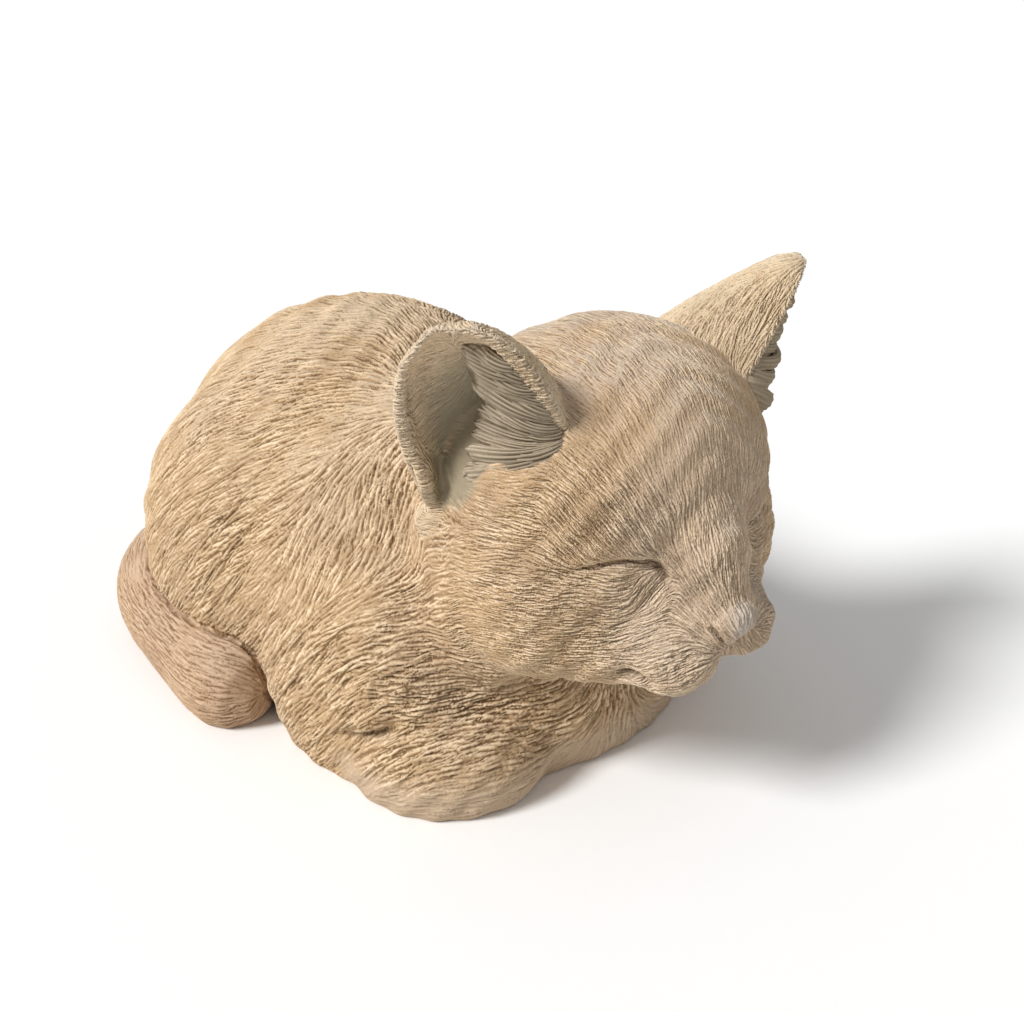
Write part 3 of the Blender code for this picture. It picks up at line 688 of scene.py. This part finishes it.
def stained_stone():
    """The colour and the fine height of stained stone, from the skin's strokes, creases and hollows."""
    group = bpy.data.node_groups.new("stained_stone", "ShaderNodeTree")
    for name in ("Body", "Drift", "Ridge", "Groove", "Hollow", "Upward"):
        group.interface.new_socket(name, in_out="INPUT", socket_type="NodeSocketColor")
    for name in ("Ridge Share", "Groove Share"):
        group.interface.new_socket(name, in_out="INPUT", socket_type="NodeSocketFloat")
    group.interface.new_socket("Color", in_out="OUTPUT", socket_type="NodeSocketColor")
    group.interface.new_socket("Height", in_out="OUTPUT", socket_type="NodeSocketFloat")
    given = group.nodes.new("NodeGroupInput").outputs
    where = put(group, "ShaderNodeTexCoord").outputs["Object"]

    def noise(scale, detail=3.0):
        made = put(group, "ShaderNodeTexNoise", {"Vector": where, "Scale": scale, "Detail": detail})
        return made.outputs["Fac"]

    def ramp(value, low, high, top=1.0):
        made = put(
            group,
            "ShaderNodeMapRange",
            {"Value": value, "From Min": low, "From Max": high, "To Max": top},
            interpolation_type="SMOOTHSTEP",
        )
        return made.outputs["Result"]

    def times(a, b):
        return put(group, "ShaderNodeMath", {0: a, 1: b}, operation="MULTIPLY").outputs[0]

    def mix(factor, a, b):
        return put(group, "ShaderNodeMix", {"Factor": factor, 6: a, 7: b}, data_type="RGBA").outputs[2]

    def drawn(name):
        return put(group, "ShaderNodeAttribute", attribute_name=name).outputs["Fac"]

    strand_value = drawn("strand")
    normal = put(group, "ShaderNodeNewGeometry").outputs["Normal"]
    up = put(group, "ShaderNodeSeparateXYZ", {0: normal}).outputs["Z"]
    colour = mix(ramp(noise(30.0), 0.40, 0.68, 0.7), given["Body"], given["Drift"])
    # The surfaces that face up take the upward colour, in patches.
    colour = mix(times(ramp(up, 0.35, 1.0), ramp(noise(42.0), 0.25, 0.60, 0.75)), colour, given["Upward"])
    colour = mix(ramp(drawn("inner"), 0.1, 0.8), colour, given["Hollow"])
    low = ramp(strand_value, -0.05, -0.85)
    groove = times(low, times(ramp(noise(90.0), 0.15, 0.55), given["Groove Share"]))
    colour = mix(groove, colour, given["Groove"])
    high = ramp(strand_value, -0.1, 0.9)
    ridge = times(high, times(ramp(noise(130.0), 0.25, 0.6), given["Ridge Share"]))
    colour = mix(ridge, colour, given["Ridge"])
    # The pale grey of wear and painted highlight.
    colour = mix(ramp(drawn("wear_and_highlight"), 0.1, 1.0, 0.85), colour, WEAR_AND_HIGHLIGHT_TINT)
    # Painted shade: the furrows, creases, folds and pits are darkened through their shadow attribute.
    colour = mix(ramp(drawn("shadow"), 0.1, 1.0, 0.85), colour, PAINTED_CREASE_SHADE)
    cells = put(group, "ShaderNodeTexVoronoi", {"Vector": where, "Scale": 420.0})
    pick = put(group, "ShaderNodeSeparateColor", {"Color": cells.outputs["Color"]}).outputs["Red"]
    pinhole = times(ramp(cells.outputs["Distance"], 0.16, 0.08), ramp(pick, 0.90, 0.94))
    pinhole = times(pinhole, ramp(noise(45.0), 0.48, 0.60))
    colour = mix(times(pinhole, 0.7), colour, PINHOLE_TINT)
    speck = ramp(noise(1400.0, 2.0), 0.60, 0.75, 0.4)
    colour = mix(speck, colour, given["Groove"])
    pores = {0: pinhole, 1: -3.0, 2: noise(2200.0)}
    height = put(group, "ShaderNodeMath", pores, operation="MULTIPLY_ADD")
    put(group, "NodeGroupOutput", {"Color": colour, "Height": height.outputs[0]})
    return group


stone_nodes = stained_stone()


def stone(name, body, drift_colour, ridge, groove, hollow_colour, upward_colour, ridge_share, groove_share):
    """A casting's own stained stone."""
    material = bpy.data.materials.new(name)
    material.use_nodes = True
    tree = material.node_tree
    shader = tree.nodes["Principled BSDF"]
    look = put(tree, "ShaderNodeGroup", node_tree=stone_nodes)
    colours = {
        "Body": body,
        "Drift": drift_colour,
        "Ridge": ridge,
        "Groove": groove,
        "Hollow": hollow_colour,
        "Upward": upward_colour,
    }
    for key, value in colours.items():
        look.inputs[key].default_value = (*value, 1.0)
    look.inputs["Ridge Share"].default_value = ridge_share
    look.inputs["Groove Share"].default_value = groove_share
    tree.links.new(look.outputs["Color"], shader.inputs["Base Color"])
    pores = {"Height": look.outputs["Height"], "Strength": GRAIN_STRENGTH, "Distance": GRAIN_HEIGHT}
    grain = put(tree, "ShaderNodeBump", pores)
    tree.links.new(grain.outputs["Normal"], shader.inputs["Normal"])
    shader.inputs["Roughness"].default_value = STONE_ROUGHNESS
    shader.inputs["Specular IOR Level"].default_value = STONE_SHINE
    return material


DRAWN = {"strand": strand, "shadow": skin.eased(shadow, 2), "inner": inner, "wear_and_highlight": wear_and_highlight}
PLATE_RECESS = 0.0063
COLLAR = 0.0012
OPEN_ABOVE = 0.050


def filled(place, ring):
    """Faces that fill a ring of open edges, between points that are given by number."""
    sheet = bmesh.new()
    members = sorted(place)
    corner = {i: sheet.verts.new(place[i]) for i in members}
    sheet.verts.index_update()
    edges = [sheet.edges.new((corner[a], corner[b])) for a, b in ring]
    made = bmesh.ops.triangle_fill(sheet, use_beauty=False, use_dissolve=False, edges=edges)["geom"]
    made = [item for item in made if isinstance(item, bmesh.types.BMFace)]
    faces = [tuple(members[v.index] for v in face.verts) for face in made]
    sheet.free()
    open_way = set(ring)
    same_way = sum((face[i], face[(i + 1) % 3]) in open_way for face in faces for i in range(3))
    against = sum((face[(i + 1) % 3], face[i]) in open_way for face in faces for i in range(3))
    return [face[::-1] for face in faces] if same_way > against else faces


def closed(points, directions, quads, tris):
    """Points and faces that close the open edges of a casting, where it is bonded to its neighbours.

    At the neck and the ears the edges stay open, because the clay runs on through them in one piece.
    """
    sides = [quads[:, [a, (a + 1) % 4]] for a in range(4)] + [tris[:, [a, (a + 1) % 3]] for a in range(3)]
    edges = np.concatenate(sides)
    backward = edges[:, 1] * len(points) + edges[:, 0]
    open_edges = edges[~np.isin(edges[:, 0] * len(points) + edges[:, 1], backward)].tolist()
    lead = {i: i for pair in open_edges for i in pair}

    def leader(i):
        while lead[i] != i:
            i = lead[i]
        return i

    for a, b in open_edges:
        lead[leader(a)] = leader(b)
    rings = {}
    for a, b in open_edges:
        rings.setdefault(leader(a), []).append((a, b))
    added, faces = [], []
    for ring in rings.values():
        members = sorted({i for pair in ring for i in pair})
        if points[members][:, 2].mean() > OPEN_ABOVE:
            continue
        under = points[members][:, 2].max() < PLATE_RECESS / 2
        move = np.array((0, 0, PLATE_RECESS)) if under else -COLLAR * directions[members]
        moved = points[members] + move
        base = len(points) + len(added)
        inward = {i: base + k for k, i in enumerate(members)}
        added += list(moved)
        for a, b in ring:
            faces += [(b, a, inward[a]), (b, inward[a], inward[b])]
        place = {base + k: point for k, point in enumerate(moved)}
        faces += filled(place, [(inward[a], inward[b]) for a, b in ring])
    return np.array(added).reshape(-1, 3), np.array(faces, dtype=np.int64).reshape(-1, 3)


def dressed(mesh, node_name, material, label):
    """A finished mesh made into a piece that takes the place of a CAD node."""
    mesh.materials.append(material)
    made = bpy.data.objects.new(label, mesh)
    bpy.context.scene.collection.objects.link(made)
    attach(made, "root")
    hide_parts(node_name)
    return made


def casting(name, material):
    """One casting cut out of the skin, with the skin's own directions so that the joints don't show."""
    quads = skin.quads[on[name][skin.quads[:, 0]]]
    tris = skin.tris[on[name][skin.tris[:, 0]]]
    chosen = np.unique(np.concatenate([quads.ravel(), tris.ravel()]))
    number = np.full(skin.count, -1)
    number[chosen] = np.arange(len(chosen))
    quads, tris = number[quads], number[tris]
    added, caps = closed(skin.points[chosen], facing[chosen], quads, tris)
    points = np.concatenate([skin.points[chosen], added])
    tris = np.concatenate([tris, caps])
    mesh = bpy.data.meshes.new("carved_" + name)
    totals = np.concatenate([np.full(len(quads), 4), np.full(len(tris), 3)])
    mesh.vertices.add(len(points))
    mesh.vertices.foreach_set("co", points.ravel())
    mesh.loops.add(int(totals.sum()))
    mesh.loops.foreach_set("vertex_index", np.concatenate([quads.ravel(), tris.ravel()]))
    mesh.polygons.add(len(totals))
    mesh.polygons.foreach_set("loop_start", np.concatenate([[0], np.cumsum(totals)[:-1]]))
    mesh.update(calc_edges=True)
    mesh.shade_smooth()
    for key, values in DRAWN.items():
        full = np.concatenate([values[chosen], np.zeros(len(added))])
        mesh.attributes.new(key, "FLOAT", "POINT").data.foreach_set("value", full)
    directions = np.concatenate([facing[chosen], np.tile((0.0, 0.0, 1.0), (len(added), 1))])
    mesh.normals_split_custom_set_from_vertices(directions)
    return dressed(mesh, name, material, "carved_" + name)


# The trunk. One hollow casting of stone from the neck to the rump, stained a warm buff, and paler where it
# faces up, as along the back. It carries all the other castings.
COAT = {
    "body": (0.535, 0.36, 0.20),
    "drift_colour": (0.48, 0.33, 0.205),
    "ridge": (0.91, 0.72, 0.49),
    "groove": (0.20, 0.12, 0.055),
    "hollow_colour": (0.34, 0.285, 0.195),
    "ridge_share": 0.85,
    "groove_share": 0.9,
}
trunk_stone = stone("stone_trunk", upward_colour=(0.70, 0.55, 0.39), **COAT)
casting("trunk_shell", trunk_stone)

# The head. A solid casting of the trunk's stone, bonded to the neck over a steel dowel, but greyer and
# pinker where it faces up, on brow and crown.
head_stone = stone("stone_head", upward_colour=(0.63, 0.54, 0.45), **COAT)
casting("head", head_stone)

# The forepaws. Small stone castings, pegged and bonded under the chest, in the coat's stain, rubbed smooth
# and grey near the ground.
paw_stone = stone("stone_paw", upward_colour=(0.62, 0.49, 0.35), **COAT)
for name in ("forepaw_right", "forepaw_left"):
    casting(name, paw_stone)

# The tail. A curved stone casting, pegged and bedded along the haunch, browner and smoother than the coat
# above it.
tail_stone = stone(
    "stone_tail",
    body=(0.53, 0.355, 0.22),
    drift_colour=(0.44, 0.29, 0.185),
    ridge=(0.76, 0.58, 0.415),
    groove=(0.22, 0.125, 0.065),
    hollow_colour=(0.30, 0.25, 0.16),
    upward_colour=(0.62, 0.46, 0.33),
    ridge_share=0.6,
    groove_share=0.8,
)
casting("tail", tail_stone)

# The ears. Thin castings pegged to the head: pale on the back, and at the rim with wear and a painted
# highlight, dull olive grey in the cup, with tufts that grow from the front edge and hang over the slot.
TUFT_ROOTS = (
    (-0.0445, -0.0850, 0.1412),
    (-0.0478, -0.0885, 0.1408),
    (-0.0440, -0.0897, 0.1365),
    (-0.0405, -0.0899, 0.1320),
    (-0.0370, -0.0899, 0.1270),
    (-0.0338, -0.0900, 0.1225),
    (-0.0328, -0.0905, 0.1200),
    (-0.0335, -0.0913, 0.1182),
    (-0.0350, -0.0913, 0.1160),
    (-0.0385, -0.0890, 0.1125),
)
TUFT_TIPS = (
    (-0.0545, -0.0765, 0.1455),
    (-0.0520, -0.0760, 0.1425),
    (-0.0500, -0.0735, 0.1380),
    (-0.0478, -0.0708, 0.1325),
    (-0.0452, -0.0687, 0.1262),
    (-0.0440, -0.0672, 0.1215),
    (-0.0450, -0.0660, 0.1165),
    (-0.0464, -0.0668, 0.1122),
    (-0.0472, -0.0664, 0.1080),
    (-0.0475, -0.0605, 0.1000),
)
TUFT_FAN = ((0.0, 0.0), (0.12, 0.11), (0.49, 0.31), (0.64, 0.60), (0.94, 1.0))
TUFT_RISE = ((0.0, 0.0015), (0.3, 0.0035), (0.55, 0.0070), (0.75, 0.0090), (0.94, 0.0035))
TUFT_COUNT = 32
TUFT_WIDTH = {"ear_right": 0.0021, "ear_left": 0.0027}
TUFT_THICKNESS = {"ear_right": 0.0012, "ear_left": 0.0022}
TUFT_LIFT = {"ear_right": 0.42, "ear_left": 1.1}
TUFT_GROOVE = {"ear_right": 1.0, "ear_left": 0.45}
TUFT_PALE = {"ear_right": 0.0, "ear_left": 0.35}
TUFT_RINGS = 18
TUFT_SIDES = 40
TUFT_RIBS = 9
TUFT_SINK = 0.1
TUFT_STRAY = 0.0008
TUFT_BEND = 0.0012
TUFT_OVERLAP = 0.0006
TUFT_RAGGED = 0.0011
TUFT_RELIEF = 0.17

ear_stone = stone(
    "stone_ear",
    body=(0.70, 0.53, 0.34),
    drift_colour=(0.54, 0.42, 0.29),
    ridge=(0.90, 0.745, 0.54),
    groove=(0.28, 0.19, 0.11),
    hollow_colour=(0.33, 0.28, 0.19),
    upward_colour=(0.70, 0.57, 0.40),
    ridge_share=0.6,
    groove_share=0.8,
)
for name in EARS:
    casting(name, ear_stone)

tuft_stone = stone(
    "stone_tuft",
    body=(0.335, 0.265, 0.18),
    drift_colour=(0.29, 0.235, 0.165),
    ridge=(0.62, 0.52, 0.39),
    groove=(0.085, 0.06, 0.038),
    hollow_colour=(0.33, 0.28, 0.19),
    upward_colour=(0.46, 0.38, 0.28),
    ridge_share=0.8,
    groove_share=0.95,
)


def tufts(name, side):
    """The locks of one ear as one mesh, each a ribbed, flattened strand from its root to its blunt tip."""
    mirror = np.array([side, 1, 1])
    out = np.array(EAR_OPENING) / np.linalg.norm(EAR_OPENING)
    order = np.linspace(0, 1, len(TUFT_ROOTS))
    first, final = TUFT_FAN[0][0], TUFT_FAN[-1][0]
    round_turn = np.arange(TUFT_SIDES) / TUFT_SIDES * 2 * np.pi
    points, faces, relief = [], [], []
    for k in range(TUFT_COUNT):
        at = first + (final - first) * (k + carver.uniform(0, 1)) / TUFT_COUNT
        fanned = np.interp(at, *zip(*TUFT_FAN))
        root = np.array([np.interp(at, order, column) for column in np.array(TUFT_ROOTS).T])
        tip = np.array([np.interp(fanned, order, column) for column in np.array(TUFT_TIPS).T])
        upper = k % 3 == 0
        length = carver.uniform(0.55, 0.85) if upper else carver.uniform(0.86, 1.05)
        tip = root + (tip - root) * length + carver.uniform(-TUFT_STRAY, TUFT_STRAY, 3)
        lift = TUFT_LIFT[name] * np.interp(at, *zip(*TUFT_RISE)) * carver.uniform(0.55, 1.3)
        lift += TUFT_OVERLAP * upper
        width = TUFT_WIDTH[name] * carver.uniform(0.65, 1.35)
        bend = carver.uniform(-TUFT_BEND, TUFT_BEND)
        turn = carver.uniform(0, 2 * np.pi)
        base = len(points)
        for ring in range(TUFT_RINGS + 1):
            t = ring / TUFT_RINGS
            ahead = (tip - root) + out * lift * math.pi * math.cos(math.pi * t)
            ahead /= np.linalg.norm(ahead)
            across = np.cross(ahead, out)
            across /= np.linalg.norm(across)
            thick = np.cross(across, ahead)
            arch = math.sin(math.pi * t**0.8)
            middle = root + (tip - root) * t + out * lift * (arch - TUFT_SINK)
            middle = middle + across * bend * math.sin(math.pi * t)
            size = (0.6 + 0.5 * t) * math.sqrt(max(1 - t**20, 0.04))
            middle = middle + ahead * (TUFT_RAGGED * t**6 * np.cos(3 * round_turn + 2 * turn))[:, None]
            rib = TUFT_GROOVE[name] * np.cos(TUFT_RIBS * round_turn + turn + 1.5 * math.sin(3 * t + turn))
            reach = size * (1 + TUFT_RELIEF * rib)
            points += list(
                (
                    middle
                    + across * (reach * np.cos(round_turn))[:, None] * width
                    + thick * (reach * np.sin(round_turn))[:, None] * TUFT_THICKNESS[name]
                )
                * mirror
            )
            relief += list(np.clip(0.75 * rib + 1.2 * t**3 - 0.3 + TUFT_PALE[name], -1, 1))
        for ring in range(TUFT_RINGS):
            for s in range(TUFT_SIDES):
                a = base + ring * TUFT_SIDES + s
                b = base + ring * TUFT_SIDES + (s + 1) % TUFT_SIDES
                faces.append((a, b, b + TUFT_SIDES, a + TUFT_SIDES)[::side])
        faces.append(tuple(range(base, base + TUFT_SIDES))[::-side])
        last = base + TUFT_RINGS * TUFT_SIDES
        faces.append(tuple(range(last, last + TUFT_SIDES))[::side])
    mesh = bpy.data.meshes.new("ear_tufts")
    mesh.from_pydata([tuple(point) for point in points], [], faces)
    mesh.shade_smooth()
    mesh.attributes.new("strand", "FLOAT", "POINT").data.foreach_set("value", relief)
    return mesh


for name, side in (("ear_right", 1), ("ear_left", -1)):
    dressed(tufts(name, side), name, tuft_stone, "tufts_" + name)

# The base. A slab of grey mortar trowelled into the opening under the trunk, closed by a rubber plug, over
# the ballast core; steel bars join the castings inside.
MORTAR = (0.36, 0.34, 0.31)
MORTAR_PALE = (0.50, 0.48, 0.44)
RUBBER = (0.035, 0.035, 0.035)
RUBBER_DUST = (0.10, 0.095, 0.09)
STEEL = (0.55, 0.55, 0.56)
STEEL_RUST = (0.26, 0.13, 0.06)


def plain_finish(name, colour, other, scale, stretch, roughness, metal, bump):
    """A finish of two tints in drifts, with a fine bump of the same grain."""
    material = bpy.data.materials.new(name)
    material.use_nodes = True
    tree = material.node_tree
    shader = tree.nodes["Principled BSDF"]
    where = put(tree, "ShaderNodeTexCoord").outputs["Object"]
    drawn_out = put(tree, "ShaderNodeMapping", {"Vector": where, "Scale": stretch}).outputs["Vector"]
    noise = put(tree, "ShaderNodeTexNoise", {"Vector": drawn_out, "Scale": scale, "Detail": 5.0})
    grain = noise.outputs["Fac"]
    share = put(tree, "ShaderNodeMapRange", {"Value": grain, "From Min": 0.35, "From Max": 0.7})
    tints = {"Factor": share.outputs["Result"], 6: (*colour, 1.0), 7: (*other, 1.0)}
    tint = put(tree, "ShaderNodeMix", tints, data_type="RGBA")
    tree.links.new(tint.outputs[2], shader.inputs["Base Color"])
    rise = put(tree, "ShaderNodeBump", {"Height": grain, "Strength": bump, "Distance": 0.0005})
    tree.links.new(rise.outputs["Normal"], shader.inputs["Normal"])
    shader.inputs["Roughness"].default_value = roughness
    shader.inputs["Metallic"].default_value = metal
    return material


mortar = plain_finish("trowelled_mortar", MORTAR, MORTAR_PALE, 90.0, (1.0, 3.0, 1.0), 0.9, 0.0, 0.5)
rubber = plain_finish("plug_rubber", RUBBER, RUBBER_DUST, 400.0, (1.0, 1.0, 1.0), 0.7, 0.0, 0.2)
steel = plain_finish("bar_steel", STEEL, STEEL_RUST, 160.0, (1.0, 1.0, 0.2), 0.4, 1.0, 0.1)
INSIDE = {"base_plate": mortar, "ballast_core": mortar, "filler_plug": rubber}
for name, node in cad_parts.items():
    if name not in CASTINGS:
        node.data.materials.clear()
        node.data.materials.append(INSIDE.get(name, steel))

# The stage. A plain pale floor under soft studio light: an even sky and one broad lamp, high on the cat's
# right. The camera stands at the photograph's place.
CAMERA_PLACE = (-0.20801, -0.30476, 0.22979)
CAMERA_TARGET = (-0.001, -0.025, 0.0675)
CAMERA_SENSOR = 36.0
FOCAL_PIXELS = 1174
PICTURE_WIDTH = 1024
FLOOR_SIZE = 24.0
FLOOR_LIT = (0.8, 0.8, 0.8, 1.0)
WHITE = (1.0, 1.0, 1.0, 1.0)
SKY_LEVEL = 0.40
LAMP_PLACE = (-0.90, 0.08, 0.86)
LAMP_TARGET = (0.0, 0.0, 0.06)
LAMP_POWER = 2.9
LAMP_SPREAD = 18.0


def background_seen(tree):
    """Where a ray meets the background straight on, in a mirror or through glass."""
    path = put(tree, "ShaderNodeLightPath").outputs
    seen = path["Is Camera Ray"]
    for ray in ("Is Glossy Ray", "Is Transmission Ray"):
        seen = put(tree, "ShaderNodeMath", {0: seen, 1: path[ray]}, operation="MAXIMUM").outputs[0]
    return seen


bpy.ops.mesh.primitive_plane_add(size=FLOOR_SIZE)
floor = bpy.context.object
floor.name = "floor"
floor_material = bpy.data.materials.new("pale_floor")
floor_material.use_nodes = True
floor_tree = floor_material.node_tree
floor_seen = background_seen(floor_tree)
floor_colour = put(
    floor_tree,
    "ShaderNodeMix",
    {"Factor": floor_seen, 6: FLOOR_LIT, 7: WHITE},
    data_type="RGBA",
)
floor_tree.links.new(floor_colour.outputs[2], floor_tree.nodes["Principled BSDF"].inputs["Base Color"])
floor_tree.nodes["Principled BSDF"].inputs["Roughness"].default_value = 0.9
floor.data.materials.append(floor_material)

world = bpy.data.worlds.new("studio")
bpy.context.scene.world = world
world.use_nodes = True
world.node_tree.nodes["Background"].inputs["Color"].default_value = WHITE
sky_seen = background_seen(world.node_tree)
sky_levels = {0: sky_seen, 1: 1 - SKY_LEVEL, 2: SKY_LEVEL}
sky = put(world.node_tree, "ShaderNodeMath", sky_levels, operation="MULTIPLY_ADD")
world.node_tree.links.new(sky.outputs[0], world.node_tree.nodes["Background"].inputs["Strength"])

key = bpy.data.lights.new("key", "SUN")
key.energy = LAMP_POWER
key.angle = math.radians(LAMP_SPREAD)
lamp = bpy.data.objects.new("key", key)
lamp.location = LAMP_PLACE
lamp.rotation_euler = (Vector(LAMP_TARGET) - Vector(LAMP_PLACE)).to_track_quat("-Z", "Y").to_euler()
bpy.context.scene.collection.objects.link(lamp)

lens = bpy.data.cameras.new("camera")
lens.sensor_width = CAMERA_SENSOR
lens.lens = CAMERA_SENSOR * FOCAL_PIXELS / PICTURE_WIDTH
camera = bpy.data.objects.new("camera", lens)
camera.location = CAMERA_PLACE
camera.rotation_euler = (Vector(CAMERA_TARGET) - Vector(CAMERA_PLACE)).to_track_quat("-Z", "Y").to_euler()
bpy.context.scene.collection.objects.link(camera)
bpy.context.scene.camera = camera
bpy.context.scene.view_settings.view_transform = "Standard"
